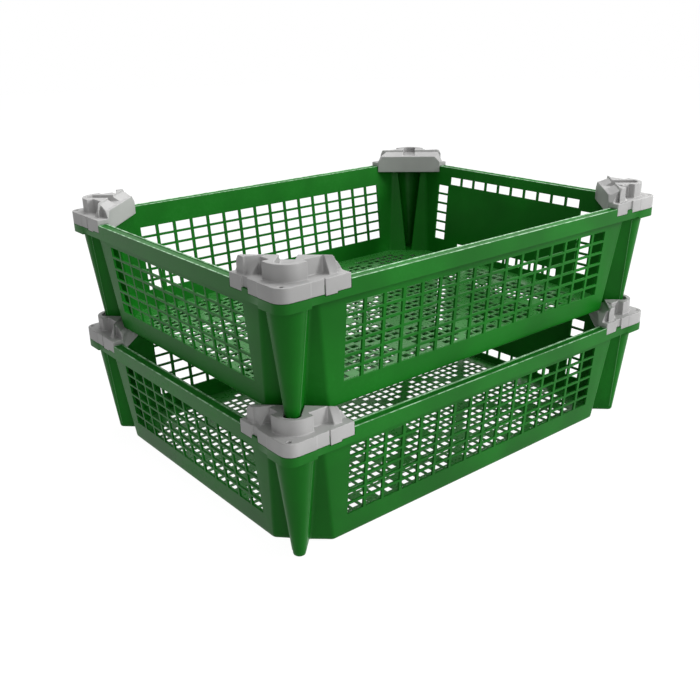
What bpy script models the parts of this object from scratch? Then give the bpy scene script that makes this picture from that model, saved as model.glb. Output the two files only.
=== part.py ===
"""Two stacked open-mesh crates, each a one-piece moulding with four clip-on corner caps.

Metres, +Z up. The origin is on the floor, under the middle of the stack. X is the crate's
length and Y its width. Every height of a moulding is measured from the top of its own rim,
because the caps, the legs and the wall openings are all set out from there.
"""

import math

import bmesh
import bpy
from mathutils import Matrix, Vector

# --- Crate moulding: overall sizes ---
CRATE_LENGTH = 0.600
CRATE_WIDTH = 0.470
CRATE_HEIGHT = 0.142
SEAT_HEIGHT = 0.016  # the next crate's feet stand this far above the rim
WALL = 0.0025
FLOOR = 0.0025

# --- Walls: the outer face at rim level, and how much it leans in per metre of depth ---
WALL_INSET = 0.0106
WALL_DRAFT = 0.094

# --- Rim: a flat top plate with a flange turned down along its outer edge ---
RIM_PLATE = 0.0026
RIM_STEP = 0.0006  # how far the wall's inner face stands in past the plate's edge
RIM_RADIUS = 0.0135
FLANGE_DEPTH = 0.0172
FLANGE = 0.0024
CORNER_FLANGE_DEPTH = 0.0195
CORNER_FLANGE_REACH = 0.036
CORNER_PAD = 0.0054  # flange thickness behind a cap, before its seat is cut
CORNER_PAD_MARGIN = 0.003  # how far the thicker flange runs on past the cap
CORNER_PAD_TAPER = 0.0004  # how much it thins on the way there
ARC_STEPS = 4

# --- Corners: a 45 degree fold in the walls, with a hollow tapered leg standing out of it ---
FOLD_SUM = 0.0616  # x + y of the fold's outer face at rim level, from the rim's corner
FOLD_DRAFT = 0.232
LEG_TIP = 0.0112  # x and y of the leg's outermost line at rim level
LEG_TIP_DRAFT = 0.083
LEG_HALF_WIDTH = 0.0222
LEG_TAPER = 0.110
LEG_ROUNDNESS = 0.86  # depth of the leg's rounded nose against its half width
LEG_STEPS = 6

# --- Openings in the walls ---
LONG_WALL_COLUMNS = 16
LONG_WALL_MARGIN = 0.089
END_WALL_COLUMNS = 12
END_WALL_MARGIN = 0.085
COLUMN_BAR = 0.0039
ROWS = 6
ROW_TOP = 0.0293
ROW_OPENING = 0.0119
ROW_BAR = 0.0030

# --- Openings in the floor ---
FLOOR_MARGIN = 0.022
FLOOR_COLUMNS = 11
FLOOR_ROWS = 6
FLOOR_RIB = 0.012

# --- Corner cap, set out from the rim's sharp corner ---
FIT = 0.0003  # gap left between touching pieces
TRAY_TOP = 0.0062
CAP_REACH = 0.085
CAP_SKIN = 0.0024
CAP_WALL = 0.0030
SKIRT_DEPTH = 0.0091
TAB_GAP_START = 0.0522  # the narrow gap that frees the tab, on the cap's x side only
TAB_START = 0.0538
TAB_END = 0.0682
TAB_DEPTH = 0.0110
SLOT_START = 0.0534  # the wide slot in the skirt, on the cap's y side only
SLOT_END = 0.0635
SLOT_DEPTH = 0.0050  # how far down the slot's sunk panel reaches
SLOT_PANEL = 0.0016
CAP_END = 0.015  # how far in the cap's straight ends run, from the rim's outer edge
INNER_DEPTH = 0.0093
BLOCK_TOP = 0.0240
BLOCK_SUM = 0.082  # x + y of the raised block's back
BLOCK_INSET = 0.009
BLOCK_RADIUS = 0.022
BLOCK_FRONT = 0.040
RECESS_BACK = 0.0175
LEDGE_BACK = 0.0213  # the ledge slopes down from this height at the block
LEDGE_INSET = 0.0145
ARM_INSET = 0.0075
ARM_STARTS = (0.064, 0.0565)  # along the cap's x side and along its y side
ARM_LEANS = (0.0097, 0.0200)  # how far the arm's outer face leans in there, over its height
ARM_STATIONS = 4
END_FOOT = 0.0010  # the arms' sloped ends start this far above the tray
END_TOP = 0.0735
POCKET_SIDE_GAP = 0.0016
POCKET_END_GAP = 0.0030
DRAIN_PLACE = 0.0076
DRAIN_RADIUS = 0.0023
DRAIN_SIDES = 12

GREEN = (0.016, 0.135, 0.018, 1.0)
GREY = (0.40, 0.39, 0.38, 1.0)

DIAGONAL = math.sqrt(2)
PITCH = CRATE_HEIGHT + SEAT_HEIGHT
INNER_SUM = CAP_REACH + CAP_END  # x + y of the cap's flat inner face
LEVELS = ("lower", "upper")
OVERSHOOT = 0.002  # how far a cutter runs past the face it cuts
CORNERS = {
    "front_left": (-1, -1),
    "front_right": (1, -1),
    "back_right": (1, 1),
    "back_left": (-1, 1),
}


def clear_scene():
    for obj in list(bpy.data.objects):
        bpy.data.objects.remove(obj, do_unlink=True)


def collection(name):
    made = bpy.data.collections.new(name)
    bpy.context.scene.collection.children.link(made)
    return made


def plastic(name, colour, roughness):
    material = bpy.data.materials.new(name)
    material.use_nodes = True
    shader = material.node_tree.nodes["Principled BSDF"]
    shader.inputs["Base Color"].default_value = colour
    shader.inputs["Roughness"].default_value = roughness
    shader.inputs["Metallic"].default_value = 0.0
    return material


def place(name, mesh, group):
    obj = bpy.data.objects.new(name, mesh)
    group.objects.link(obj)
    return obj


def snap(mesh):
    """Rounds to a tenth of a micrometre, so that faces meant to be level with others are."""
    for vertex in mesh.vertices:
        vertex.co = [round(value, 7) for value in vertex.co]


def slab(name, outlines, bottom, top, group):
    """A flat outline, with any further outlines as its holes, between two heights."""
    curve = bpy.data.curves.new(name, "CURVE")
    curve.dimensions = "2D"
    curve.fill_mode = "BOTH"
    curve.extrude = (top - bottom) / 2
    for outline in outlines:
        spline = curve.splines.new("POLY")
        spline.points.add(len(outline) - 1)
        for point, (x, y) in zip(spline.points, outline):
            point.co = (x, y, 0.0, 1.0)
        spline.use_cyclic_u = True
    drawn = place(name + "_outline", curve, group)
    bpy.context.view_layer.update()
    graph = bpy.context.evaluated_depsgraph_get()
    mesh = bpy.data.meshes.new_from_object(drawn.evaluated_get(graph))
    bpy.data.objects.remove(drawn, do_unlink=True)
    mesh.transform(Matrix.Translation((0, 0, (top + bottom) / 2)))
    shape = bmesh.new()
    shape.from_mesh(mesh)
    bmesh.ops.remove_doubles(shape, verts=shape.verts, dist=1e-6)
    bmesh.ops.dissolve_limit(shape, angle_limit=0.001, verts=[], edges=shape.edges)
    bmesh.ops.recalc_face_normals(shape, faces=shape.faces)
    shape.to_mesh(mesh)
    shape.free()
    snap(mesh)
    return place(name, mesh, group)


def boxes(name, spans, group):
    """One mesh of separate boxes, each given as its low and high corner."""
    shape = bmesh.new()
    for low, high in spans:
        size = [b - a for a, b in zip(low, high)]
        middle = [(a + b) / 2 for a, b in zip(low, high)]
        matrix = Matrix.Translation(middle) @ Matrix.Diagonal((*size, 1.0))
        bmesh.ops.create_cube(shape, size=1.0, matrix=matrix)
    mesh = bpy.data.meshes.new(name)
    shape.to_mesh(mesh)
    shape.free()
    snap(mesh)
    return place(name, mesh, group)


def loft(name, loops, group):
    """A closed skin through loops of equally many points, with its two end loops filled."""
    shape = bmesh.new()
    rings = [[shape.verts.new(point) for point in loop] for loop in loops]
    for lower, upper in zip(rings, rings[1:]):
        count = len(lower)
        for i in range(count):
            j = (i + 1) % count
            shape.faces.new((lower[i], lower[j], upper[j], upper[i]))
    shape.faces.new(rings[0])
    shape.faces.new(rings[-1])
    bmesh.ops.recalc_face_normals(shape, faces=shape.faces)
    mesh = bpy.data.meshes.new(name)
    shape.to_mesh(mesh)
    shape.free()
    snap(mesh)
    return place(name, mesh, group)


def combine(target, other, operation):
    """Applies a Boolean of the two objects to the first, and hides the second."""
    modifier = target.modifiers.new(operation.title(), "BOOLEAN")
    modifier.operation = operation
    modifier.solver = "EXACT"
    modifier.object = other
    bpy.context.view_layer.update()
    graph = bpy.context.evaluated_depsgraph_get()
    mesh = bpy.data.meshes.new_from_object(target.evaluated_get(graph))
    target.modifiers.clear()
    target.data = mesh
    other.hide_render = True
    other.display_type = "WIRE"


def arc(centre, radius, start, end, steps):
    """Points along an arc, with its angles in degrees."""
    points = []
    for i in range(steps + 1):
        angle = math.radians(start + (end - start) * i / steps)
        points.append((centre + radius * math.cos(angle), centre + radius * math.sin(angle)))
    return points


def mirrored(half):
    """The same outline on the other side of the diagonal, in the order that closes it."""
    return [(y, x) for x, y in reversed(half)]


def around(corner_points):
    """Repeats one corner's points at all four corners, in one loop about the crate's middle.

    The points are distances in from the rim's sharp corner, and run from the wall along
    that corner's y side to the wall along its x side.
    """
    half_x = CRATE_LENGTH / 2
    half_y = CRATE_WIDTH / 2
    loop = []
    for side_x, side_y in CORNERS.values():
        turned = side_x * side_y < 0
        points = list(reversed(corner_points)) if turned else corner_points
        loop += [(side_x * (half_x - x), side_y * (half_y - y)) for x, y in points]
    return loop


def at_corner(obj, side_x, side_y, height):
    """Moves a shape drawn from a rim corner at its own origin to one of the four corners."""
    quarter_turns = list(CORNERS.values()).index((side_x, side_y))
    turn = Matrix.Rotation(quarter_turns * math.pi / 2, 4, "Z")
    corner = Vector((side_x * CRATE_LENGTH / 2, side_y * CRATE_WIDTH / 2, height))
    obj.data.transform(Matrix.Translation(corner) @ turn)
    snap(obj.data)


def wall_inset(depth):
    return WALL_INSET + WALL_DRAFT * depth


def fold_sum(depth):
    return FOLD_SUM + FOLD_DRAFT * depth


def leg_tip(depth):
    return LEG_TIP + LEG_TIP_DRAFT * depth


def leg_half_width(depth):
    return LEG_HALF_WIDTH - LEG_TAPER * depth


def on_diagonal(along, across):
    """A point given along a corner's diagonal and square to it."""
    return (along + across) / DIAGONAL, (along - across) / DIAGONAL


def wall_section(depth, inward):
    """The walls' outline at a depth below the rim, moved inward from the outer face."""
    inset = wall_inset(depth) + inward
    fold = fold_sum(depth) + inward * DIAGONAL
    half_width = leg_half_width(depth) - inward
    nose = leg_tip(depth) * DIAGONAL + inward
    points = [(inset, fold - inset), on_diagonal(fold / DIAGONAL, -half_width)]
    for i in range(LEG_STEPS + 1):
        angle = math.radians(-90 + 180 * i / LEG_STEPS)
        along = nose + LEG_ROUNDNESS * half_width * (1 - math.cos(angle))
        points.append(on_diagonal(along, half_width * math.sin(angle)))
    points += [on_diagonal(fold / DIAGONAL, half_width), (fold - inset, inset)]
    return around(points)


def crate_shell(group):
    """Walls, folded corners, hollow legs and floor, as one skin."""
    top = RIM_PLATE / 2
    stations = [
        (CRATE_HEIGHT - FLOOR, WALL),
        (top, WALL),
        (top, 0.0),
        (CRATE_HEIGHT, 0.0),
    ]
    loops = []
    for depth, inward in stations:
        loops.append([(x, y, -depth) for x, y in wall_section(depth, inward)])
    return loft("shell", loops, group)


def rim(group):
    """The top plate and its turned-down flange, hollow from below, with the caps' seats cut."""
    bottom = -CORNER_FLANGE_DEPTH
    inner = WALL_INSET + WALL - RIM_STEP
    fold = FOLD_SUM + (WALL - RIM_STEP) * DIAGONAL
    outside = around(arc(RIM_RADIUS, RIM_RADIUS, 180, 270, ARC_STEPS))
    opening = around([(inner, fold - inner), (fold - inner, inner)])
    body = slab("rim", [outside, opening], bottom, 0.0, group)

    reach = CAP_REACH + CORNER_PAD_MARGIN
    half = [(FLANGE, reach + CORNER_PAD), (CORNER_PAD - CORNER_PAD_TAPER, reach)]
    nose = arc(RIM_RADIUS, RIM_RADIUS - CORNER_PAD, 180, 270, ARC_STEPS)
    channel = around(half + nose + mirrored(half))
    under = slab("channel", [channel], bottom - OVERSHOOT, -RIM_PLATE, group)
    combine(body, under, "DIFFERENCE")

    beyond_x = CRATE_LENGTH / 2 + OVERSHOOT
    beyond_y = CRATE_WIDTH / 2 + OVERSHOOT
    short_x = CRATE_LENGTH / 2 - CORNER_FLANGE_REACH
    short_y = CRATE_WIDTH / 2 - CORNER_FLANGE_REACH
    low = bottom - OVERSHOOT
    for x, y in ((short_x, beyond_y), (beyond_x, short_y)):
        trim = boxes("trim", [((-x, -y, low), (x, y, -FLANGE_DEPTH))], group)
        combine(body, trim, "DIFFERENCE")

    for side_x, side_y in CORNERS.values():
        for seat in cap_seats(group):
            at_corner(seat, side_x, side_y, 0.0)
            combine(body, seat, "DIFFERENCE")
    return body


def cap_seats(group):
    """What one cap takes out of the rim: its skirt, its tab and the slot's sunk panel."""
    seat = CAP_SKIN + FIT
    end = CAP_REACH + FIT
    nose = arc(RIM_RADIUS, RIM_RADIUS - seat, 270, 180, ARC_STEPS)
    skirt = [(-OVERSHOOT, end), (-OVERSHOOT, -OVERSHOOT), (end, -OVERSHOOT)]
    skirt += [(end, seat)] + nose + [(seat, end)]
    panel_seat = seat + SLOT_PANEL
    tab = ((TAB_GAP_START, -OVERSHOOT, -TAB_DEPTH - FIT), (TAB_END + FIT, seat, -RIM_PLATE))
    panel = ((-OVERSHOOT, SLOT_START - FIT, -SLOT_DEPTH - FIT), (panel_seat, SLOT_END + FIT, OVERSHOOT))
    return [
        slab("skirt_seat", [skirt], -SKIRT_DEPTH - FIT, OVERSHOOT, group),
        boxes("tab_seat", [tab], group),
        boxes("panel_seat", [panel], group),
    ]


def column_spans(length, margin, count):
    """Start and end of each opening along a wall, from the wall's middle."""
    run = length - 2 * margin
    opening = (run - (count - 1) * COLUMN_BAR) / count
    starts = [-run / 2 + i * (opening + COLUMN_BAR) for i in range(count)]
    return [(start, start + opening) for start in starts]


def row_span(row):
    top = -ROW_TOP - row * (ROW_OPENING + ROW_BAR)
    return top - ROW_OPENING, top


def in_frame(row, from_end):
    """Whether the panel's frame has an opening there: beside it, above it or below it."""
    if row < 0:
        return from_end >= 1
    if row == ROWS:
        return from_end >= 2
    return from_end == 0


def wall_openings(group):
    """Cutters for the four walls. One end wall keeps a blank panel inside a frame of openings."""
    near = wall_inset(0.0) - WALL
    far = wall_inset(CRATE_HEIGHT) + 2 * WALL
    last_column = END_WALL_COLUMNS - 1
    spans = []
    for side in (-1, 1):
        edges = sorted((side * (CRATE_WIDTH / 2 - near), side * (CRATE_WIDTH / 2 - far)))
        for start, end in column_spans(CRATE_LENGTH, LONG_WALL_MARGIN, LONG_WALL_COLUMNS):
            for row in range(ROWS):
                bottom, top = row_span(row)
                spans.append(((start, edges[0], bottom), (end, edges[1], top)))
        edges = sorted((side * (CRATE_LENGTH / 2 - near), side * (CRATE_LENGTH / 2 - far)))
        framed = side > 0
        columns = column_spans(CRATE_WIDTH, END_WALL_MARGIN, END_WALL_COLUMNS)
        for row in range(-1, ROWS + 1) if framed else range(ROWS):
            bottom, top = row_span(row)
            for column, (start, end) in enumerate(columns):
                if framed and not in_frame(row, min(column, last_column - column)):
                    continue
                spans.append(((edges[0], start, bottom), (edges[1], end, top)))
    return boxes("wall_openings", spans, group)


def floor_openings(group):
    inset = wall_inset(CRATE_HEIGHT) + WALL + FLOOR_MARGIN
    half_x = CRATE_LENGTH / 2 - inset
    half_y = CRATE_WIDTH / 2 - inset
    fold = fold_sum(CRATE_HEIGHT) + (WALL + FLOOR_MARGIN) * DIAGONAL
    size_x = (2 * half_x - (FLOOR_COLUMNS - 1) * FLOOR_RIB) / FLOOR_COLUMNS
    size_y = (2 * half_y - (FLOOR_ROWS - 1) * FLOOR_RIB) / FLOOR_ROWS
    spans = []
    for column in range(FLOOR_COLUMNS):
        start_x = -half_x + column * (size_x + FLOOR_RIB)
        from_end = min(start_x + half_x, half_x - start_x - size_x) + inset
        for row in range(FLOOR_ROWS):
            start_y = -half_y + row * (size_y + FLOOR_RIB)
            from_side = min(start_y + half_y, half_y - start_y - size_y) + inset
            if from_end + from_side < fold:
                continue
            low = (start_x, start_y, -CRATE_HEIGHT - OVERSHOOT)
            high = (start_x + size_x, start_y + size_y, -CRATE_HEIGHT + FLOOR + OVERSHOOT)
            spans.append((low, high))
    return boxes("floor_openings", spans, group)


def crate(cutters):
    """The moulding, about its rim's top."""
    body = crate_shell(cutters)
    combine(body, rim(cutters), "UNION")
    combine(body, wall_openings(cutters), "DIFFERENCE")
    combine(body, floor_openings(cutters), "DIFFERENCE")
    return body


def arm_outline(start):
    """The block's edge on its y side, from the arm's back corner to the barrel."""
    end = BLOCK_SUM - ARM_INSET
    arm = [(ARM_INSET, end), (ARM_INSET, start), (RECESS_BACK, start)]
    return arm + [(RECESS_BACK, BLOCK_FRONT), (BLOCK_INSET, BLOCK_FRONT)]


def above_tray_outline(far):
    """All that stands clear of the tray: outside the raised block and the ledge behind it."""
    x_start, y_start = ARM_STARTS
    ledge_end = BLOCK_SUM - LEDGE_INSET
    barrel = arc(BLOCK_INSET + BLOCK_RADIUS, BLOCK_RADIUS, 180, 270, LEG_STEPS)
    block = arm_outline(y_start) + barrel + mirrored(arm_outline(x_start))
    outline = [(LEDGE_INSET, far), (-OVERSHOOT, far), (-OVERSHOOT, -OVERSHOOT), (far, -OVERSHOOT)]
    outline += [(far, LEDGE_INSET), (ledge_end, LEDGE_INSET)]
    return outline + list(reversed(block)) + [(LEDGE_INSET, ledge_end)]


def arm_slope(start, lean_over_height, turned, group):
    """A cutter that leans the arm's outer face in, from nothing at its end to most at its start."""
    end = BLOCK_SUM - ARM_INSET + OVERSHOOT
    start -= OVERSHOOT
    top = BLOCK_TOP + OVERSHOOT
    foot = ARM_INSET - FIT
    loops = []
    for i in range(ARM_STATIONS + 1):
        share = i / ARM_STATIONS
        lean = lean_over_height * (1 - share) * (top - TRAY_TOP) / (BLOCK_TOP - TRAY_TOP)
        along = start + (end - start) * share
        profile = [(-OVERSHOOT, TRAY_TOP + FIT), (foot, TRAY_TOP + FIT)]
        profile += [(foot + lean, top), (-OVERSHOOT, top)]
        loops.append([(x, along, z) if turned else (along, x, z) for x, z in profile])
    return loft("arm_slope", loops, group)


def end_slope(turned, group):
    """A cutter that slopes the end of the block and the ledge back from the cap's edge."""
    foot = TRAY_TOP + END_FOOT
    slope = (CAP_REACH - END_TOP) / (BLOCK_TOP - foot)
    far = CAP_REACH + OVERSHOOT
    top = BLOCK_TOP + OVERSHOOT
    profile = [(far, foot - OVERSHOOT / slope), (END_TOP - slope * OVERSHOOT, top), (far, top)]
    loops = []
    for across in (-OVERSHOOT, INNER_SUM):
        loops.append([(across, x, z) if turned else (x, across, z) for x, z in profile])
    return loft("end_slope", loops, group)


def ledge_slope(group):
    """A cutter for the space above the ledge, down to where the next crate's floor stands."""
    start = BLOCK_SUM / DIAGONAL
    floor_edge = (fold_sum(CRATE_HEIGHT) - FIT) / DIAGONAL
    end = INNER_SUM / DIAGONAL + OVERSHOOT
    top = BLOCK_TOP + OVERSHOOT
    low = SEAT_HEIGHT - FIT
    profile = [(start, LEDGE_BACK), (start, top), (end, top), (end, low), (floor_edge, low)]
    loops = []
    for across in (-CAP_REACH, CAP_REACH):
        loops.append([(*on_diagonal(along, across), z) for along, z in profile])
    return loft("ledge_slope", loops, group)


def cap(cutters):
    """The corner cap, about the rim's sharp corner.

    It is cut from one solid corner: down to the raised block, the ledge and the tray from
    above, and to the skirt and the inner face from below. Its y side has a wide slot and
    its x side a clip tab, so that caps turned to the next corner look the same from there.
    """
    seat = SEAT_HEIGHT - FIT
    inner_start = WALL_INSET + WALL + WALL_DRAFT * INNER_DEPTH + FIT
    behind = INNER_SUM - CAP_WALL * DIAGONAL
    nose = arc(RIM_RADIUS, RIM_RADIUS, 180, 270, ARC_STEPS)
    tray = [(0.0, CAP_REACH)] + nose + [(CAP_REACH, 0.0), (CAP_REACH, CAP_END), (CAP_END, CAP_REACH)]
    body = slab("cap", [tray], -TAB_DEPTH, BLOCK_TOP, cutters)

    far = CAP_REACH + OVERSHOOT
    top = BLOCK_TOP + OVERSHOOT
    above_tray = slab("above_tray", [above_tray_outline(far)], TRAY_TOP, top, cutters)
    combine(body, above_tray, "DIFFERENCE")
    combine(body, ledge_slope(cutters), "DIFFERENCE")
    for turned, start, lean in zip((False, True), ARM_STARTS, ARM_LEANS):
        combine(body, arm_slope(start, lean, turned, cutters), "DIFFERENCE")
        combine(body, end_slope(turned, cutters), "DIFFERENCE")

    skin = CAP_SKIN
    panel = CAP_SKIN + SLOT_PANEL
    rim_space = [(skin, far), (skin, SLOT_END), (panel, SLOT_END), (panel, SLOT_START)]
    rim_space += [(skin, SLOT_START)] + arc(RIM_RADIUS, RIM_RADIUS - skin, 180, 270, ARC_STEPS)
    rim_space += [(far, skin), (far, inner_start), (behind - inner_start, inner_start)]
    rim_space += [(inner_start, behind - inner_start), (inner_start, far)]
    bottom = -TAB_DEPTH - OVERSHOOT
    combine(body, slab("rim_space", [rim_space], bottom, FIT, cutters), "DIFFERENCE")

    inside = (panel + inner_start) / 2
    trims = [
        ((inside, inside, bottom), (far, far, -INNER_DEPTH)),
        ((-OVERSHOOT, -OVERSHOOT, bottom), (inside, far, -SKIRT_DEPTH)),
        ((inside - OVERSHOOT, -OVERSHOOT, bottom), (TAB_START, inside, -SKIRT_DEPTH)),
        ((TAB_END, -OVERSHOOT, bottom), (far, inside, -SKIRT_DEPTH)),
        ((TAB_GAP_START, -OVERSHOOT, bottom), (TAB_START, skin + FIT, top)),
        ((-OVERSHOOT, SLOT_START, bottom), (skin, SLOT_END, top)),
        ((-OVERSHOOT, SLOT_START - FIT, bottom), (inside, SLOT_END + FIT, -SLOT_DEPTH)),
    ]
    for span in trims:
        combine(body, boxes("trim", [span], cutters), "DIFFERENCE")

    start = max(inner_start, RECESS_BACK) + CAP_WALL
    end = behind - CAP_WALL - start
    hollow = [(start, end), (start, start), (end, start)]
    roof = seat - CAP_WALL
    combine(body, slab("hollow", [hollow], -OVERSHOOT, roof, cutters), "DIFFERENCE")

    depth = CRATE_HEIGHT - (BLOCK_TOP - SEAT_HEIGHT)
    half_width = leg_half_width(depth) + POCKET_SIDE_GAP
    back = (leg_tip(depth) - POCKET_END_GAP) * DIAGONAL
    front = INNER_SUM / DIAGONAL + OVERSHOOT
    pocket = [on_diagonal(back, -half_width), on_diagonal(back, half_width)]
    pocket += [on_diagonal(front, half_width), on_diagonal(front, -half_width)]
    combine(body, slab("pocket", [pocket], seat, BLOCK_TOP + OVERSHOOT, cutters), "DIFFERENCE")

    ring = arc(DRAIN_PLACE, DRAIN_RADIUS, 0, 360 - 360 / DRAIN_SIDES, DRAIN_SIDES - 1)
    combine(body, slab("drain", [ring], -OVERSHOOT, TRAY_TOP + OVERSHOOT, cutters), "DIFFERENCE")
    return body


def main():
    clear_scene()
    shown = collection("stacking_crate")
    cutters = collection("stacking_crate_cutters")
    cutters.hide_render = True
    green = plastic("crate_green_plastic", GREEN, 0.42)
    grey = plastic("cap_grey_plastic", GREY, 0.5)
    moulding = crate(cutters)
    fitting = cap(cutters)
    for level, name in enumerate(LEVELS):
        rim_height = CRATE_HEIGHT + level * PITCH
        body = place(name + "_crate", moulding.data.copy(), shown)
        body.data.transform(Matrix.Translation((0, 0, rim_height)))
        body.data.materials.clear()
        body.data.materials.append(green)
        for corner, (side_x, side_y) in CORNERS.items():
            piece = place(f"{name}_cap_{corner}", fitting.data.copy(), shown)
            at_corner(piece, side_x, side_y, rim_height)
            piece.data.materials.clear()
            piece.data.materials.append(grey)
    for helper in list(cutters.objects):
        bpy.data.objects.remove(helper, do_unlink=True)


main()
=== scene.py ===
"""Two stacked open-mesh crates with clip-on corner caps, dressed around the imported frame."""

import math

import bmesh
import bpy
from mathutils import Matrix, Vector


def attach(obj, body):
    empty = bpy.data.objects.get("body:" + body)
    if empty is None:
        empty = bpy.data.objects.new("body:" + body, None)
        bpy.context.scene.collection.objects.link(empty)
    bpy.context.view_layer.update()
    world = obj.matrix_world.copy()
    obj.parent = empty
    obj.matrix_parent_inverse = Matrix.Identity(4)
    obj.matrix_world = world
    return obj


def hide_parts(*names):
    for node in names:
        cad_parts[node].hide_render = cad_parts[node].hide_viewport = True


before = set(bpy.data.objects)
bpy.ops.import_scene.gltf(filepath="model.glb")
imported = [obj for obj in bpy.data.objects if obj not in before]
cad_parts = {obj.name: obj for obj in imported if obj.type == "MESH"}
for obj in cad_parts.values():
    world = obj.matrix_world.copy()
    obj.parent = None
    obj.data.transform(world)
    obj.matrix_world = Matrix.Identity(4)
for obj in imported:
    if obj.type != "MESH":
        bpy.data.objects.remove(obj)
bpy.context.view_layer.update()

MM = 0.001

# --- Sizes, in millimetres, as in the part's source. Depths run down from a rim's top ---
LENGTH = 600.0
WIDTH = 470.0
HEIGHT = 142.0
SEAT = 16.0
PITCH = HEIGHT + SEAT
WALL = 2.6
FLOOR = 2.4
WALL_INSET = 10.6
WALL_DRAFT = 0.094
FOLD_SUM = 61.6
FOLD_DRAFT = 0.232
LEG_TIP = 11.2
LEG_TIP_DRAFT = 0.083
LEG_HALF_WIDTH = 22.2
LEG_TAPER = 0.110
LEG_ROUNDNESS = 0.86
BOTTOM_RADIUS = 2.4
BEAD_RADIUS = 0.55
BEAD_DEPTHS = (22.0, 50.0, 80.0, 110.0, 136.0)
BEAD_PLACE = 0.9  # of the leg's round nose, where the bead starts to stand proud
BEAD_SIDES = 6
BEAD_SINK = 0.05
CORNER_RUN = 81.0  # how far from the rim's corner the wall's corner section reaches
FOLD_ROUNDING = 7.0
LEG_ROOT_ROUNDING = 4.0
ROUNDING_STEPS = 4
NOSE_STEPS = 16

RIM_RADIUS = 13.5
RIM_WIDTH = 13.0
RIM_PLATE = 2.6
FLANGE = 2.4
FLANGE_DEPTH = 17.2
CORNER_FLANGE_DEPTH = 19.5
CORNER_FLANGE_REACH = 36.0
CORNER_FLANGE_STEP = 1.2
PAD = 5.4
PAD_REACH = 88.0
GROOVE_START = 2.0
GROOVE_END = 11.3
GROOVE_SLOPE = 0.6
GROOVE_DEPTH = 0.9
SPARE_POINTS = 6.0  # where the rim's outer face keeps the points of the cap's seat
PLATE_LAP = 0.4  # how far a corner's flat plate runs under the rim's own
PLATE_SINK = 0.1

FIT = 0.3
CAP_REACH = 85.0
CAP_SKIN = 2.4
SKIRT_DEPTH = 9.1
TAB_GAP_START = 52.2
TAB_END = 68.2
TAB_DEPTH = 11.0
SLOT_START = 53.4
SLOT_END = 63.5
SLOT_DEPTH = 5.0
SLOT_PANEL = 1.6

PANEL_WALL = 1  # the end wall with the blank panel, by its corner in CORNERS
WALL_TOP = 1.3
WALL_FOOT = 136.0
ROWS = 6
ROW_TOP = 29.3
ROW_OPENING = 11.9
ROW_BAR = 3.0
LOW_ROW = (117.5, 129.5)  # the row of openings under the blank panel
LONG_COLUMNS = 16
LONG_MARGIN = 89.0
LONG_BAR = 4.1
END_COLUMNS = 12
END_MARGIN = 85.0
END_BAR = 3.5

MESH_PITCH = (13.43, 12.66)
MESH_COUNT = (38, 30)
MESH_OPENING = (9.4, 8.7)
MESH_CORNER_SUM = 132.0
STRIP_TURN = 10  # the first strips run this many rows either side of the middle
FIRST_STRIPS = ((5, 0.9), (5, -0.9), (14, -1.0), (14, 0.9))  # start, columns gained a row
FURTHER_STRIPS = ((4, 0.95), (4, -0.95), (14, 0.95), (14, -0.95))

DIAGONAL = math.sqrt(2)
CORNERS = ((-1, -1), (1, -1), (1, 1), (-1, 1))
CAP_PLACES = ("front_left", "front_right", "back_right", "back_left")
CAP_GRAIN = 0.6  # the size of the cells that a cap's skin is made from

# --- Corner cap ---
TRAY_TOP = 6.2
CAP_WALL = 3.0
TAB_START = 53.8
INNER_SUM = 100.0
INNER_DEPTH = 9.3
BLOCK_TOP = 24.0
BLOCK_SUM = 82.0
BLOCK_INSET = 9.0
BLOCK_RADIUS = 22.0
BLOCK_FRONT = 40.0
RECESS_BACK = 17.5
LEDGE_BACK = 21.3
LEDGE_INSETS = {"x": 14.5, "y": 8.5}  # on the tab's side and on the slot's side
ARM_INSET = 7.5
ARM_STATIONS = 16
ARMS = {"x": (64.0, 76.0, 9.7), "y": (56.5, 65.0, 20.0)}  # start, where it stands upright, lean
PROUD_INSET = 4.6  # where the y side's arm, from its upright part on, stands out to
END_FOOT = 1.0  # the sloped ends start this far above the tray
END_TOP = 73.5
SIDE_INSET = 0.5  # how much the rim and the skirt step in past the corner's own portion
POCKET_SIDE_GAP = 1.6
POCKET_END_GAP = 3.0
DRAIN_PLACE = 7.6
POCKET_CORNER = 4.0
POCKET_CORNER_RUN = 3.0
DRAIN_RADIUS = 2.3
DRAIN_SIDES = 24
PAST = 2.0  # how far a cut runs past the face it cuts
CLEAR = 0.3  # how far a slanting cut keeps off the flat faces beside it
WELD = 0.001


# --- Materials ---

class Flow:
    """A number flowing through a material, so that its maths reads as plain expressions."""

    def __init__(self, finish, socket):
        self.finish = finish
        self.socket = socket

    def maths(self, operation, first, second=None):
        inputs = {0: first} if second is None else {0: first, 1: second}
        made = self.finish.node("ShaderNodeMath", {"operation": operation}, inputs)
        return Flow(self.finish, made.outputs[0])

    def __add__(self, other):
        return self.maths("ADD", self, other)

    def __sub__(self, other):
        return self.maths("SUBTRACT", self, other)

    def __rsub__(self, other):
        return self.maths("SUBTRACT", other, self)

    def __mul__(self, other):
        return self.maths("MULTIPLY", self, other)

    __radd__ = __add__
    __rmul__ = __mul__


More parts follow.
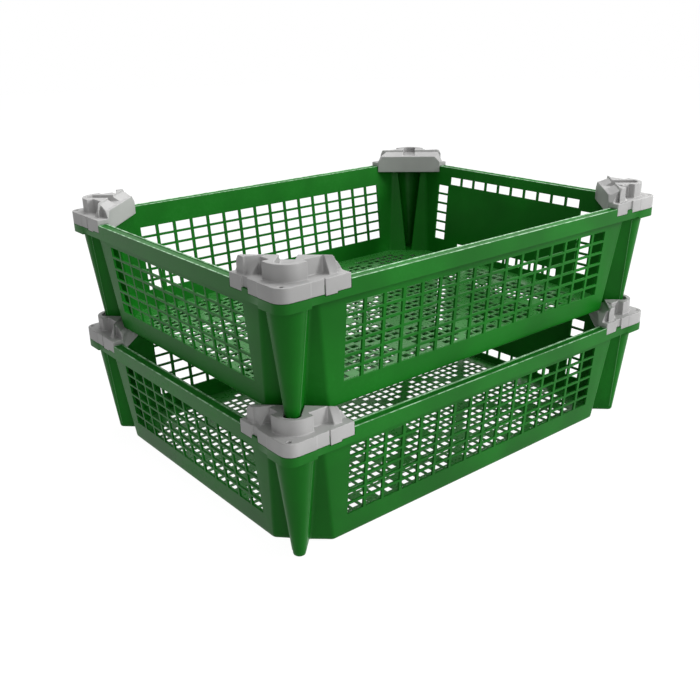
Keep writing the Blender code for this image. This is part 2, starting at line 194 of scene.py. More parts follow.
class Nodes:
    """The nodes of one material or of the world."""

    def __init__(self, tree):
        self.tree = tree

    def node(self, kind, settings=None, inputs=None):
        made = self.tree.nodes.new(kind)
        for name, value in (settings or {}).items():
            setattr(made, name, value)
        for name, value in (inputs or {}).items():
            self.feed(made.inputs[name], value)
        return made

    def feed(self, socket, value):
        if isinstance(value, Flow):
            value = value.socket
        if isinstance(value, bpy.types.NodeSocket):
            self.tree.links.new(value, socket)
        else:
            socket.default_value = value

    def seen_by(self, *rays):
        """1 for a ray of one of these kinds, otherwise 0."""
        path = self.node("ShaderNodeLightPath")
        kinds = [Flow(self, path.outputs[f"Is {ray} Ray"]) for ray in rays]
        seen = kinds[0]
        for kind in kinds[1:]:
            seen = seen.maths("MAXIMUM", seen, kind)
        return seen


class Finish(Nodes):
    """One material: a Principled shader and the nodes that feed it."""

    def __init__(self, name, **constants):
        self.material = bpy.data.materials.new(name)
        self.material.use_nodes = True
        super().__init__(self.material.node_tree)
        self.shader = self.tree.nodes["Principled BSDF"]
        for socket, value in constants.items():
            self.shader.inputs[socket.replace("_", " ")].default_value = value

    def place(self):
        return self.node("ShaderNodeTexCoord").outputs["Object"]

    def noise(self, where, scale, detail=2.0, roughness=0.5):
        made = self.node("ShaderNodeTexNoise", None, {
            "Vector": where, "Scale": scale, "Detail": detail, "Roughness": roughness})
        return Flow(self, made.outputs["Fac"])

    def spread(self, value, low, high):
        """Brings a stretch of a value to 0 and 1."""
        made = self.node("ShaderNodeMapRange", {"interpolation_type": "SMOOTHSTEP"}, {
            "Value": value, "From Min": low, "From Max": high})
        return Flow(self, made.outputs["Result"])

    def blend(self, share, first, second):
        made = self.node("ShaderNodeMix", {"data_type": "RGBA"}, {0: share, 6: first, 7: second})
        return made.outputs[2]

    def bump(self, height, strength, distance):
        made = self.node("ShaderNodeBump", None, {
            "Height": height, "Strength": strength, "Distance": distance})
        self.feed(self.shader.inputs["Normal"], made.outputs["Normal"])


# How many cells each noise has in a metre.
CLOUDS = 9.0
WAVES = 38.0
STREAKS = 130.0
SPECKLES = 260.0
SKIN = 1400.0
# The colour of the painted highlight along the rim tops.
PAINTED_RIM_HIGHLIGHT = (0.42, 0.66, 0.44, 1.0)
RIM_TOPS = (HEIGHT, HEIGHT + PITCH)


def moulded_plastic(name, colour, worn, roughness, gloss, highlight_tops=()):
    """Injection moulded plastic: cloudy colour, a fine skin, flow waviness and rubbed spots, and a
    streaky painted highlight just under each given rim top.
    """
    finish = Finish(name, IOR=1.46, Specular_IOR_Level=gloss)
    where = finish.place()
    cloud = finish.noise(where, CLOUDS, 3.0)
    speckle = finish.noise(where, SPECKLES, 3.0, 0.6)
    waves = finish.noise(where, WAVES, 2.0)
    skin = finish.noise(where, SKIN, 2.0)
    rubbed = finish.spread(cloud * 0.55 + speckle * 0.45, 0.50, 0.72)
    deep = tuple(part * 0.80 for part in colour) + (1.0,)
    full = tuple(part * 1.12 for part in colour) + (1.0,)
    body = finish.blend(finish.spread(cloud, 0.30, 0.70), deep, full)
    body = finish.blend(rubbed * 0.22, body, worn + (1.0,))
    # Painted highlight: a pale streaky band just under each rim top, standing in for the overhead
    # light's sheen on the ridges.
    if highlight_tops:
        parts = finish.node("ShaderNodeSeparateXYZ", None, {"Vector": where})
        height = Flow(finish, parts.outputs["Z"])

        def highlight_band(top):
            reached = finish.spread(height, (top - 0.55) * MM, (top - 0.15) * MM)
            passed = finish.spread(height, (top + 2.0) * MM, (top + 3.0) * MM)
            return reached * (1 - passed)

        streaks = finish.spread(finish.noise(where, STREAKS, 2.0), 0.40, 0.60)
        share = sum(highlight_band(top) for top in highlight_tops) * (streaks * 0.60 + 0.28)
        body = finish.blend(share, body, PAINTED_RIM_HIGHLIGHT)
    finish.feed(finish.shader.inputs["Base Color"], body)
    finish.feed(finish.shader.inputs["Roughness"], rubbed * 0.14 + speckle * 0.08 + roughness)
    finish.bump(waves * 0.75 + skin * 0.25, 0.35, 0.00022)
    return finish.material


GREEN = (0.004, 0.120, 0.006)
WORN_GREEN = (0.020, 0.190, 0.025)
crate_green = moulded_plastic("crate_green", GREEN, WORN_GREEN, 0.36, 0.12)
# The rim's green carries the painted highlight along both rim tops.
rim_green = moulded_plastic("rim_green", GREEN, WORN_GREEN, 0.34, 0.16, RIM_TOPS)
# The floor is the walls' plastic in a lighter green: painted sheen standing in for the glancing
# reflection on the mesh.
floor_green_painted_sheen = moulded_plastic(
    "floor_green_painted_sheen", (0.020, 0.165, 0.022), (0.090, 0.280, 0.095), 0.24, 0.55)
# A lighter green that paints the highlight along the legs' edges onto the beads.
leg_highlight_green = moulded_plastic(
    "leg_highlight_green", (0.040, 0.200, 0.045), (0.100, 0.300, 0.105), 0.30, 0.45)
cap_grey = moulded_plastic(
    "cap_grey", (0.350, 0.348, 0.345), (0.45, 0.445, 0.44), 0.44, 0.35)


# --- Shapes ---

def made(name, data):
    """Stands a mesh, a lamp or a camera in the scene."""
    piece = bpy.data.objects.new(name, data)
    bpy.context.scene.collection.objects.link(piece)
    return piece


def skinned(shape, loops, closed=False):
    """Adds a skin through loops of equally many points: closed on itself, or with filled ends."""
    rings = [[shape.verts.new(point) for point in loop] for loop in loops]
    onward = rings[1:] + rings[:1] if closed else rings[1:]
    count = len(rings[0])
    for ring, following in zip(rings, onward):
        for i in range(count):
            n = (i + 1) % count
            shape.faces.new((ring[i], ring[n], following[n], following[i]))
    if not closed:
        shape.faces.new(rings[0])
        shape.faces.new(rings[-1])


def finished_piece(name, shape, material, body, bevel, segments=2):
    """Turns a bmesh in millimetres into a piece with rounded edges that rides on a body."""
    bmesh.ops.remove_doubles(shape, verts=shape.verts, dist=WELD)
    bmesh.ops.dissolve_degenerate(shape, dist=WELD, edges=shape.edges)
    bmesh.ops.recalc_face_normals(shape, faces=shape.faces)
    for vertex in shape.verts:
        vertex.co *= MM
    mesh = bpy.data.meshes.new(name)
    shape.to_mesh(mesh)
    shape.free()
    mesh.shade_smooth()
    mesh.materials.append(material)
    piece = made(name, mesh)
    edges = piece.modifiers.new("rounded_edges", "BEVEL")
    edges.width = bevel * MM
    edges.segments = segments
    edges.limit_method = "ANGLE"
    edges.angle_limit = math.radians(32)
    edges.use_clamp_overlap = True
    edges.harden_normals = True
    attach(piece, body)
    return piece


def lattice(shape, columns, rows, solid, near, far, cyclic):
    """A plate of cells with openings: the two faces of each solid cell and its open sides.

    near and far give the plate's two faces at a grid point; solid tells which cells exist.
    """
    points = {}

    def vertex(face, i, j):
        if cyclic:
            i %= columns
        key = (face, i, j)
        if key not in points:
            points[key] = shape.verts.new((near, far)[face](i, j))
        return points[key]

    def filled(i, j):
        if cyclic:
            i %= columns
        elif not 0 <= i < columns:
            return False
        return 0 <= j < rows and solid(i, j)

    def skin(corners):
        if len(set(corners)) == 4:
            shape.faces.new(corners)

    for i in range(columns):
        for j in range(rows):
            if not filled(i, j):
                continue
            ring = ((i, j), (i + 1, j), (i + 1, j + 1), (i, j + 1))
            skin([vertex(0, *at) for at in ring])
            skin([vertex(1, *at) for at in reversed(ring)])
            beside = ((i, j - 1), (i + 1, j), (i, j + 1), (i - 1, j))
            for start, end, other in zip(ring, ring[1:] + ring[:1], beside):
                if not filled(*other):
                    skin([vertex(0, *end), vertex(0, *start), vertex(1, *start), vertex(1, *end)])


def filleted(points, radii, steps):
    """Rounds the inner points of an open line, always with the same number of points."""
    line = [Vector(points[0])]
    for before, at, after, radius in zip(points, points[1:], points[2:], radii):
        at = Vector(at)
        back = (Vector(before) - at).normalized()
        on = (Vector(after) - at).normalized()
        half = math.acos(max(-1.0, min(1.0, back.dot(on)))) / 2
        reach = radius / math.tan(half)
        centre = at + (back + on).normalized() * radius / math.sin(half)
        start = at + back * reach - centre
        turn = start.angle_signed(at + on * reach - centre)
        for step in range(steps + 1):
            angle = turn * step / steps
            line.append(centre + Matrix.Rotation(-angle, 2) @ start)
    line.append(Vector(points[-1]))
    return line


def on_diagonal(along, across):
    return (along + across) / DIAGONAL, (along - across) / DIAGONAL


def corner_section(depth, inward):
    """A corner's wall line, from its y side round the fold and the leg's nose to its x side."""
    inset = WALL_INSET + WALL_DRAFT * depth + inward
    fold = FOLD_SUM + FOLD_DRAFT * depth + inward * DIAGONAL
    half_width = LEG_HALF_WIDTH - LEG_TAPER * depth - inward
    nose = (LEG_TIP + LEG_TIP_DRAFT * depth) * DIAGONAL + inward
    shoulder = nose + LEG_ROUNDNESS * half_width
    half = [(inset, CORNER_RUN), (inset, fold - inset), on_diagonal(fold / DIAGONAL, -half_width)]
    half.append(on_diagonal(shoulder, -half_width))
    line = filleted(half, (FOLD_ROUNDING + inward, LEG_ROOT_ROUNDING - inward), ROUNDING_STEPS)
    for i in range(1, NOSE_STEPS):
        angle = math.pi * (i / NOSE_STEPS - 0.5)
        along = nose + LEG_ROUNDNESS * half_width * (1 - math.cos(angle))
        line.append(Vector(on_diagonal(along, half_width * math.sin(angle))))
    line += [Vector((y, x)) for x, y in reversed(line[:len(line) - NOSE_STEPS + 1])]
    return line


def corner_place(corner, x, y):
    """A point given by its distances from a rim corner, about the crate's middle."""
    side_x, side_y = CORNERS[corner]
    return side_x * (LENGTH / 2 - x), side_y * (WIDTH / 2 - y)


def opening_edges(length, margin, count, bar):
    run = length - 2 * margin
    opening = (run - (count - 1) * bar) / count
    edges = []
    for i in range(count):
        start = -run / 2 + i * (opening + bar)
        edges += [start, start + opening]
    return edges


LONG_EDGES = opening_edges(LENGTH, LONG_MARGIN, LONG_COLUMNS, LONG_BAR)
END_EDGES = opening_edges(WIDTH, END_MARGIN, END_COLUMNS, END_BAR)


def wall_depths():
    """The depths of the rows' edges: one row more above the others and one more below."""
    tops = [ROW_TOP + i * (ROW_OPENING + ROW_BAR) for i in range(-1, ROWS)]
    edges = [edge for top in tops for edge in (top, top + ROW_OPENING)]
    return [WALL_TOP] + edges + [*LOW_ROW, WALL_FOOT]


def walls(body, name):
    """The four walls with their openings, the folded corners and the hollow legs, in one."""
    rounding = [(HEIGHT - BOTTOM_RADIUS * (1 - math.sin(a)), BOTTOM_RADIUS * (1 - math.cos(a)))
                for a in (math.radians(step) for step in (0, 30, 60, 90))]
    levels = [(depth, 0.0) for depth in wall_depths()] + rounding
    count = len(corner_section(0.0, 0.0))

    def ring(depth, inward):
        section = corner_section(depth, inward)
        inset = WALL_INSET + WALL_DRAFT * depth + inward
        line = []
        kinds = []
        for corner in range(4):
            turned = corner % 2 == 1
            points = list(reversed(section)) if turned else section
            line += [corner_place(corner, x, y) for x, y in points]
            kinds += [None] * count
            lengthwise = corner % 2 == 0
            edges = LONG_EDGES if lengthwise else END_EDGES
            side = 1 if corner in (0, 1) else -1
            for number, edge in enumerate(edges):
                along = edge * side
                if lengthwise:
                    line.append((along, -side * (WIDTH / 2 - inset)))
                else:
                    line.append((side * (LENGTH / 2 - inset), along))
                kinds.append((corner, number))
        return line, kinds

    outer = []
    inner = []
    for depth, shrink in levels:
        outer.append([(x, y, -depth) for x, y in ring(depth, shrink)[0]])
        inner.append([(x, y, -depth) for x, y in ring(depth, WALL)[0]])
    kinds = ring(0.0, 0.0)[1]
    columns = len(kinds)

    def solid(i, j):
        """Openings start at every other edge and every other depth."""
        kind = kinds[i]
        if kind is None or kind[1] % 2 or j % 2 == 0:
            return True
        wall, number = kind
        row = (j - 3) // 2
        column = number // 2
        from_end = min(column, END_COLUMNS - 1 - column)
        if wall != PANEL_WALL or from_end == 0:
            return not 0 <= row < ROWS
        return not (row == -1 or row == ROWS and from_end >= 2)

    shape = bmesh.new()
    lattice(shape, columns, len(levels) - 1, solid,
            lambda i, j: outer[j][i], lambda i, j: inner[j][i], True)
    return finished_piece(name, shape, crate_green, body, 0.55)


def floor_mesh(body, name):
    """The floor's fine square mesh with its solid border and the diagonal strips."""
    def edges(pitch, count, opening):
        return [pitch * (i - (count - 1) / 2) + side * opening / 2
                for i in range(count) for side in (-1, 1)]

    half_x = LENGTH / 2 - WALL_INSET - WALL_DRAFT * HEIGHT - WALL / 2
    half_y = WIDTH / 2 - WALL_INSET - WALL_DRAFT * HEIGHT - WALL / 2
    xs = [-half_x] + edges(MESH_PITCH[0], MESH_COUNT[0], MESH_OPENING[0]) + [half_x]
    ys = [-half_y] + edges(MESH_PITCH[1], MESH_COUNT[1], MESH_OPENING[1]) + [half_y]
    fold = FOLD_SUM + FOLD_DRAFT * HEIGHT + WALL / 2 * DIAGONAL
    limit_y = WIDTH / 2 - (fold - (LENGTH / 2 - half_x))
    limit_x = LENGTH / 2 - (fold - (WIDTH / 2 - half_y))

    def strip(column, row):
        across = abs(column - (MESH_COUNT[0] - 1) / 2)
        rows = abs(row - (MESH_COUNT[1] - 1) / 2)
        strips = FIRST_STRIPS
        if rows > STRIP_TURN:
            strips = FURTHER_STRIPS
            rows -= STRIP_TURN
        return any(abs(across - abs(start + gain * rows)) <= 0.5 for start, gain in strips)

    def solid(i, j):
        last_i = len(xs) - 2
        last_j = len(ys) - 2
        if i in (0, last_i) and j in (0, last_j):
            return False
        if i % 2 == 0 or j % 2 == 0:
            return True
        column, row = i // 2, j // 2
        from_end = LENGTH / 2 - abs(xs[i] + xs[i + 1]) / 2
        from_side = WIDTH / 2 - abs(ys[j] + ys[j + 1]) / 2
        if from_end + from_side < MESH_CORNER_SUM:
            return True
        return strip(column, row)

    def at(depth):
        def point(i, j):
            x, y = xs[i], ys[j]
            if i in (0, len(xs) - 1):
                y = max(-limit_y, min(limit_y, y))
            if j in (0, len(ys) - 1):
                x = max(-limit_x, min(limit_x, x))
            return x, y, -depth
        return point

    shape = bmesh.new()
    lattice(shape, len(xs) - 1, len(ys) - 1, solid, at(HEIGHT - FLOOR), at(HEIGHT), False)
    return finished_piece(name, shape, floor_green_painted_sheen, body, 0.95, 2)


def rim_profile(side, along):
    """The rim's section at a place: its top, its hollow underside and the seat of a cap."""
    capped = along < CAP_REACH + FIT
    face = SIDE_INSET if along > CORNER_FLANGE_REACH + CORNER_FLANGE_STEP / 2 else 0.0
    skirt_cut = CAP_SKIN + FIT if capped else face
    top_cut = skirt_cut
    skirt_end = SKIRT_DEPTH + FIT if capped else SPARE_POINTS
    if side == "x" and TAB_GAP_START < along < TAB_END + FIT:
        skirt_end = TAB_DEPTH + FIT
    if side == "y" and SLOT_START - FIT < along < SLOT_END + FIT:
        top_cut = CAP_SKIN + SLOT_PANEL + FIT
        skirt_cut = face
    share = min(1.0, max(0.0, (along - CORNER_FLANGE_REACH) / CORNER_FLANGE_STEP))
    bottom = CORNER_FLANGE_DEPTH + (FLANGE_DEPTH - CORNER_FLANGE_DEPTH) * share
    inner = PAD if along < PAD_REACH else FLANGE
    groove = 0.0 if capped else GROOVE_DEPTH
    first = max(GROOVE_START, top_cut + FIT)
    return [
        (top_cut, 0.0), (first, 0.0),
        (first + GROOVE_SLOPE, -groove), (GROOVE_END - GROOVE_SLOPE, -groove),
        (GROOVE_END, 0.0), (RIM_WIDTH, 0.0), (RIM_WIDTH, -RIM_PLATE), (inner, -RIM_PLATE),
        (inner, -bottom), (face, -bottom), (face, -skirt_end), (skirt_cut, -skirt_end),
        (skirt_cut, -SLOT_DEPTH - FIT), (top_cut, -SLOT_DEPTH - FIT),
    ]


def rim(body, name):
    """The rim all round, from the middle of one side to the next through each corner."""
    nudge = 0.001
    marks = {"x": [], "y": []}
    for side, special in (("x", (TAB_GAP_START, TAB_END + FIT)),
                          ("y", (SLOT_START - FIT, SLOT_END + FIT))):
        for mark in (*special, CAP_REACH + FIT, PAD_REACH):
            marks[side] += [mark - nudge, mark + nudge]
        marks[side] += [RIM_RADIUS + 0.5, CORNER_FLANGE_REACH,
                        CORNER_FLANGE_REACH + CORNER_FLANGE_STEP]
        marks[side].sort()
    steps = 8
    sections = []
    for corner in range(4):
        turn = Matrix.Rotation(corner * math.pi / 2, 2)
        origin = Vector(corner_place(corner, 0.0, 0.0))

        def add(profile, spot):
            sections.append([(*(origin + turn @ Vector(spot(inward))), z) for inward, z in profile])

        for along in reversed(marks["y"]):
            add(rim_profile("y", along), lambda inward, t=along: (inward, t))
        for i in range(steps + 1):
            angle = math.radians(90 * i / steps)
            aim = Vector((math.cos(angle), math.sin(angle)))
            add(rim_profile("x", 0.0), lambda inward, a=aim: (
                RIM_RADIUS - (RIM_RADIUS - inward) * a.x, RIM_RADIUS - (RIM_RADIUS - inward) * a.y))
        for along in marks["x"]:
            add(rim_profile("x", along), lambda inward, t=along: (t, inward))
    shape = bmesh.new()
    skinned(shape, sections, True)
    return finished_piece(name, shape, rim_green, body, 0.7, 3)


def corner_plates(body, name):
    """The rim's flat corners above the legs, and the soles that close the legs below."""
    shape = bmesh.new()

    def prism(corner, outline, top, bottom):
        around = [corner_place(corner, x, y) for x, y in outline]
        skinned(shape, [[(x, y, z) for x, y in around] for z in (top, bottom)])

    fold = FOLD_SUM + WALL * DIAGONAL
    beside = ROUNDING_STEPS + 2  # the wall's points, before the section turns out to the leg
    sole = corner_section(HEIGHT, BOTTOM_RADIUS * 0.9)[beside:-beside]
    edge = RIM_WIDTH - PLATE_LAP
    plate = [(edge, fold - edge), (edge, edge), (fold - edge, edge)]
    for corner in range(4):
        prism(corner, plate, -PLATE_SINK, PLATE_SINK - RIM_PLATE)
        prism(corner, sole, FLOOR - HEIGHT, -HEIGHT)
    return finished_piece(name, shape, crate_green, body, 0.3, 1)


def leg_beads(body, name):
    """The raised parting lines that run down both flanks of every leg, in a lighter green that
    paints the highlight along the legs' edges.
    """
    shape = bmesh.new()
    for corner in range(4):
        for flank in (-1, 1):
            rings = []
            for depth in BEAD_DEPTHS:
                half_width = LEG_HALF_WIDTH - LEG_TAPER * depth
                nose = (LEG_TIP + LEG_TIP_DRAFT * depth) * DIAGONAL
                along = nose + LEG_ROUNDNESS * half_width * BEAD_PLACE
                across = flank * (half_width - BEAD_SINK)
                ring = []
                for k in range(BEAD_SIDES):
                    angle = 2 * math.pi * k / BEAD_SIDES
                    spot = on_diagonal(along + BEAD_RADIUS * math.cos(angle),
                                       across + BEAD_RADIUS * math.sin(angle))
                    ring.append((*corner_place(corner, *spot), -depth))
                rings.append(ring)
            skinned(shape, rings)
    return finished_piece(name, shape, leg_highlight_green, body, 0.05, 1)


def crate(level):
    """One moulding, in the place of its CAD node."""
    body = level + "_crate"
    height = HEIGHT + (PITCH if level == "upper" else 0.0)
    pieces = [
        walls(body, level + "_walls_and_legs"),
        floor_mesh(body, level + "_floor_mesh"),
        rim(body, level + "_rim"),
        corner_plates(body, level + "_corner_plates"),
        leg_beads(body, level + "_leg_beads"),
    ]
    for piece in pieces:
        piece.data.transform(Matrix.Translation((0.0, 0.0, height * MM)))
    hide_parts(body)


for level in ("lower", "upper"):
    crate(level)


# --- Corner caps, drawn from the rim's sharp corner: x along one side, y along the other ---

def flat_shape(outline, bottom, top):
    """A straight-sided solid over an outline."""
    return ruled_shape([[(x, y, z) for x, y in outline] for z in (bottom, top)])


def ruled_shape(loops):
    """A closed skin through loops of equally many points."""
    shape = bmesh.new()
    skinned(shape, loops)
    bmesh.ops.recalc_face_normals(shape, faces=shape.faces)
    mesh = bpy.data.meshes.new("cap_cutter")
    shape.to_mesh(mesh)
    shape.free()
    return made("cap_cutter", mesh)


def span(low, high):
    (x0, y0, z0), (x1, y1, z1) = low, high
    return flat_shape([(x0, y0), (x1, y0), (x1, y1), (x0, y1)], z0, z1)


def applied(piece):
    """The piece's mesh with its modifiers worked in."""
    bpy.context.view_layer.update()
    graph = bpy.context.evaluated_depsgraph_get()
    mesh = bpy.data.meshes.new_from_object(piece.evaluated_get(graph))
    piece.modifiers.clear()
    piece.data = mesh
    return piece


def shaped(piece, other):
    """Takes another shape's space out of the piece."""
    cut = piece.modifiers.new("shaped", "BOOLEAN")
    cut.operation = "DIFFERENCE"
    cut.solver = "EXACT"
    cut.object = other
    applied(piece)
    bpy.data.objects.remove(other, do_unlink=True)


def arc(centre, radius, start, end, steps):
    """Points round a centre that lies as far from one side as from the other."""
    points = []
    for i in range(steps + 1):
        angle = math.radians(start + (end - start) * i / steps)
        points.append((centre + radius * math.cos(angle), centre + radius * math.sin(angle)))
    return points


def swapped(half):
    """The same line on the cap's other side, drawn on from there."""
    return [(y, x) for x, y in reversed(half)]


def arm_outline(side):
    """The block's edge on one side, from the arm's back corner to the barrel."""
    start, upright, _ = ARMS[side]
    if side == "x":
        arm = [(ARM_INSET, BLOCK_SUM - ARM_INSET)]
    else:
        arm = [(PROUD_INSET, BLOCK_SUM - PROUD_INSET), (PROUD_INSET, upright), (ARM_INSET, upright)]
    arm.append((ARM_INSET, start))
    return arm + [(RECESS_BACK, start), (RECESS_BACK, BLOCK_FRONT), (BLOCK_INSET, BLOCK_FRONT)]


def above_tray(far):
    """All that stands clear of the tray, outside the raised block and the ledge behind it."""
    barrel = arc(BLOCK_INSET + BLOCK_RADIUS, BLOCK_RADIUS, 180, 270, 24)
    block = arm_outline("y") + barrel + swapped(arm_outline("x"))
    inset_x, inset_y = LEDGE_INSETS["x"], LEDGE_INSETS["y"]
    outline = [(inset_y, far), (-PAST, far), (-PAST, -PAST), (far, -PAST)]
    outline += [(far, inset_x), (BLOCK_SUM - inset_x, inset_x)]
    return outline + list(reversed(block)) + [(inset_y, BLOCK_SUM - inset_y)]


def turned_to(side, across, along, z):
    return (along, across, z) if side == "x" else (across, along, z)


def arm_slope(side):
    """Leans an arm's outer face in at its start, and less and less until it stands upright."""
    start, upright, lean_over_height = ARMS[side]
    loops = []
    foot = ARM_INSET - CLEAR
    low = TRAY_TOP + CLEAR
    top = BLOCK_TOP + PAST
    for i in range(ARM_STATIONS + 1):
        share = i / ARM_STATIONS
        lean = lean_over_height * (1 - share) * (top - TRAY_TOP) / (BLOCK_TOP - TRAY_TOP)
        along = start - PAST + (upright - start + PAST) * share
        profile = [(-PAST, low), (foot, low), (foot + lean, top), (-PAST, top)]
        loops.append([turned_to(side, x, along, z) for x, z in profile])
    return ruled_shape(loops)


def end_slope(side):
    """Slopes the end of the block and the ledge back from the cap's edge."""
    foot = TRAY_TOP + END_FOOT
    slope = (CAP_REACH - END_TOP) / (BLOCK_TOP - foot)
    far = CAP_REACH + PAST
    top = BLOCK_TOP + PAST
    profile = [(far, foot - PAST / slope), (END_TOP - slope * PAST, top), (far, top)]
    return ruled_shape([[turned_to(side, across, along, z) for along, z in profile]
                        for across in (-PAST, INNER_SUM)])


def ledge_slope():
    """Slopes the ledge from the block down to where the next crate's floor stands."""
    start = BLOCK_SUM / DIAGONAL
    end = INNER_SUM / DIAGONAL + PAST
    top = BLOCK_TOP + PAST
    low = SEAT - FIT
    rest = (FOLD_SUM + FOLD_DRAFT * HEIGHT - FIT) / DIAGONAL
    profile = [(start, LEDGE_BACK), (start, top), (end, top), (end, low), (rest, low)]
    return ruled_shape([[(*on_diagonal(along, across), z) for along, z in profile]
                        for across in (-CAP_REACH, CAP_REACH)])


def cap_mesh():
    """One cap, cut from a solid corner, with every edge then softened as moulded."""
    seat = SEAT - FIT
    inner = WALL_INSET + WALL + WALL_DRAFT * INNER_DEPTH + FIT
    behind = INNER_SUM - CAP_WALL * DIAGONAL
    edge = INNER_SUM - CAP_REACH
    far = CAP_REACH + PAST
    top = BLOCK_TOP + PAST
    low = -TAB_DEPTH - PAST
    skin = CAP_SKIN
    panel = CAP_SKIN + SLOT_PANEL
    nose = arc(RIM_RADIUS, RIM_RADIUS, 180, 270, 12)
    tray = [(0.0, CAP_REACH)] + nose + [(CAP_REACH, 0.0), (CAP_REACH, edge), (edge, CAP_REACH)]
    cap = flat_shape(tray, -TAB_DEPTH, BLOCK_TOP)
    for cut in (flat_shape(above_tray(far), TRAY_TOP, top), arm_slope("x"), arm_slope("y")):
        shaped(cap, cut)
    cuts = [ledge_slope(), end_slope("x"), end_slope("y")]
    under = [(skin, far), (skin, SLOT_END), (panel, SLOT_END)]
    under += [(panel, SLOT_START), (skin, SLOT_START)]
    under += arc(RIM_RADIUS, RIM_RADIUS - skin, 180, 270, 8)
    under += [(far, skin), (far, inner), (behind - inner, inner)]
    under += [(inner, behind - inner), (inner, far)]
    cuts.append(flat_shape(under, low, FIT))
    inside = (panel + inner) / 2
    cuts += [
        span((inside, inside, low), (far, far, -INNER_DEPTH)),
        span((-PAST, -PAST, low), (inside, far, -SKIRT_DEPTH)),
        span((inside - PAST, -PAST, low), (TAB_START, inside, -SKIRT_DEPTH)),
        span((TAB_END, -PAST, low), (far, inside, -SKIRT_DEPTH)),
        span((TAB_GAP_START, -PAST, low), (TAB_START, skin + FIT, top)),
        span((-PAST, SLOT_START, low), (skin, SLOT_END, top)),
        span((-PAST, SLOT_START - FIT, low), (inside, SLOT_END + FIT, -SLOT_DEPTH)),
        span((CORNER_FLANGE_REACH, -PAST, low), (far, SIDE_INSET, top)),
        span((-PAST, CORNER_FLANGE_REACH, low), (SIDE_INSET, far, top)),
    ]
    start = max(inner, RECESS_BACK) + CAP_WALL
    end = behind - CAP_WALL - start
    cuts.append(flat_shape([(start, end), (start, start), (end, start)], -PAST, seat - CAP_WALL))
    depth = HEIGHT - (BLOCK_TOP - SEAT)
    half_width = LEG_HALF_WIDTH - LEG_TAPER * depth + POCKET_SIDE_GAP
    back = (LEG_TIP + LEG_TIP_DRAFT * depth - POCKET_END_GAP) * DIAGONAL
    front = INNER_SUM / DIAGONAL + PAST
    nook = back + POCKET_CORNER_RUN
    narrow = half_width - POCKET_CORNER
    pocket = [on_diagonal(along, across) for along, across in (
        (nook, -half_width), (back, -narrow), (back, narrow), (nook, half_width),
        (front, half_width), (front, -half_width))]
    cuts.append(flat_shape(pocket, seat, top))
    drain = arc(DRAIN_PLACE, DRAIN_RADIUS, 0, 360, DRAIN_SIDES)[:-1]
    cuts.append(flat_shape(drain, -PAST, TRAY_TOP + PAST))
    for cut in cuts:
        shaped(cap, cut)
    moulded = cap.modifiers.new("moulded_skin", "REMESH")
    moulded.mode = "VOXEL"
    moulded.voxel_size = CAP_GRAIN
    moulded.use_smooth_shade = True
    soft = cap.modifiers.new("soft_edges", "SMOOTH")
    soft.factor = 0.5
    soft.iterations = 4
    mesh = applied(cap).data
    bpy.data.objects.remove(cap, do_unlink=True)
    return mesh


def corner_caps():
    """The cap at each corner of each rim, turned to it, in the place of its CAD node."""
    shape = cap_mesh()
    for level in ("lower", "upper"):
        height = HEIGHT + (PITCH if level == "upper" else 0.0)
        for corner, place in enumerate(CAP_PLACES):
            node = f"{level}_cap_{place}"
            mesh = shape.copy()
            turn = Matrix.Rotation(corner * math.pi / 2, 4, "Z")
            spot = Matrix.Translation((*corner_place(corner, 0.0, 0.0), height))
            mesh.transform(Matrix.Scale(MM, 4) @ spot @ turn)
            mesh.materials.clear()
            mesh.materials.append(cap_grey)
            piece = made(node + "_moulded", mesh)
            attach(piece, "lower_crate" if level == "lower" else node)
            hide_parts(node)


corner_caps()


# --- Camera, light and floor ---

SENSOR = 36.0
PICTURE_WIDTH = 700
FOCAL_LENGTH = 871.64  # in widths of a pixel
EYE = (-0.72057, -0.8563, 0.54115)
AIM = (38.893, -21.446, -1.325)  # yaw from +Y, pitch and roll, in degrees

ROOM_LIGHT = 0.30  # the white room's light on the crates, as a share of what the camera sees
SOFTBOXES = (  # name, place, what it faces, size and watts
    ("key_softbox", (1.9, -2.0, 1.5), (0.0, 0.0, 0.15), (0.9, 0.9), 74.0),
    ("front_softbox", (-0.9, -2.3, 1.0), (0.0, 0.0, 0.2), (1.4, 1.2), 16.0),
    ("top_softbox", (0.3, 0.2, 2.2), (0.0, 0.0, 0.2), (1.4, 1.4), 38.0),
)
WHITE = (1.0, 1.0, 1.0, 1.0)
FLOOR_GREY = (0.62, 0.62, 0.62, 1.0)
FLOOR_GLOW = 1.14
FLOOR_GLOW_SHARE = 0.85
FLOOR_RADIUS = 6.0
FLOOR_DROP = 0.0005


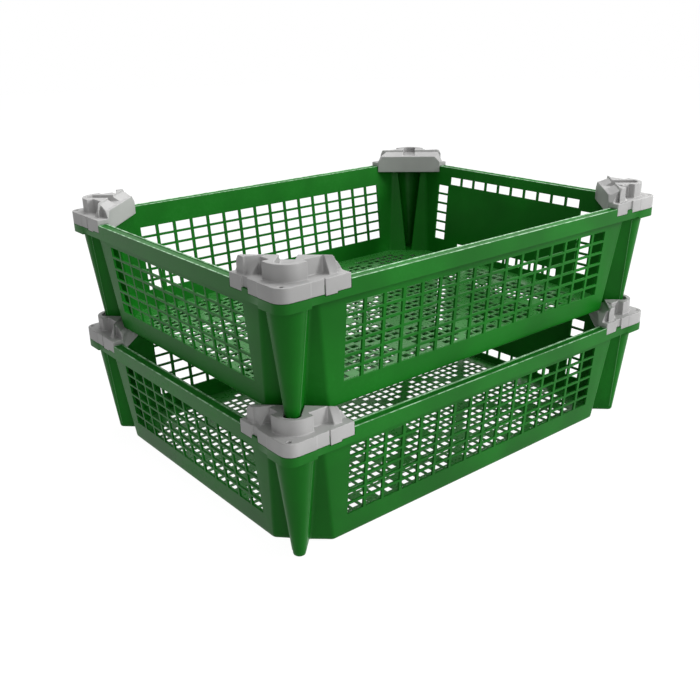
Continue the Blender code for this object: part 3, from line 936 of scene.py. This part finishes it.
def camera():
    lens = bpy.data.cameras.new("camera")
    lens.sensor_width = SENSOR
    lens.lens = FOCAL_LENGTH / PICTURE_WIDTH * SENSOR
    yaw, pitch, roll = (math.radians(angle) for angle in AIM)
    level = math.cos(pitch)
    ahead = Vector((math.sin(yaw) * level, math.cos(yaw) * level, math.sin(pitch)))
    right = Vector((math.cos(yaw), -math.sin(yaw), 0.0))
    up = right.cross(ahead)
    across = right * math.cos(roll) + up * math.sin(roll)
    upright = up * math.cos(roll) - right * math.sin(roll)
    matrix = Matrix((across, upright, -ahead)).transposed().to_4x4()
    matrix.translation = Vector(EYE)
    eye = made("camera", lens)
    eye.matrix_world = matrix
    bpy.context.scene.camera = eye


def softbox(name, place, target, size, watts):
    lamp = bpy.data.lights.new(name, "AREA")
    lamp.shape = "RECTANGLE"
    lamp.size, lamp.size_y = size
    lamp.energy = watts
    shown = made(name, lamp)
    shown.location = place
    shown.rotation_euler = (Vector(target) - Vector(place)).to_track_quat("-Z", "Y").to_euler()


def studio():
    """A white room with three softboxes, and a pale floor that keeps the crates' shadow."""
    world = bpy.data.worlds.new("studio")
    world.use_nodes = True
    bpy.context.scene.world = world
    room = Nodes(world.node_tree)
    backdrop = room.tree.nodes["Background"]
    seen = room.seen_by("Camera", "Glossy", "Transmission")
    room.feed(backdrop.inputs["Color"], WHITE)
    room.feed(backdrop.inputs["Strength"], seen * (1.0 - ROOM_LIGHT) + ROOM_LIGHT)
    for lamp in SOFTBOXES:
        softbox(*lamp)

    pale = Finish("pale_floor", Base_Color=FLOOR_GREY, Roughness=0.9, Specular_IOR_Level=0.1)
    glow = pale.node("ShaderNodeEmission", None, {"Color": WHITE, "Strength": FLOOR_GLOW})
    share = pale.seen_by("Camera", "Glossy", "Transmission") * FLOOR_GLOW_SHARE
    mixed = pale.node("ShaderNodeMixShader", None, {
        0: share, 1: pale.shader.outputs[0], 2: glow.outputs[0]})
    pale.feed(pale.tree.nodes["Material Output"].inputs["Surface"], mixed.outputs[0])
    shape = bmesh.new()
    bmesh.ops.create_circle(shape, cap_ends=True, segments=64, radius=FLOOR_RADIUS)
    mesh = bpy.data.meshes.new("studio_floor")
    shape.to_mesh(mesh)
    shape.free()
    mesh.materials.append(pale.material)
    ground = made("studio_floor", mesh)
    ground.location.z = -FLOOR_DROP


camera()
studio()
bpy.context.scene.view_settings.view_transform = "Standard"
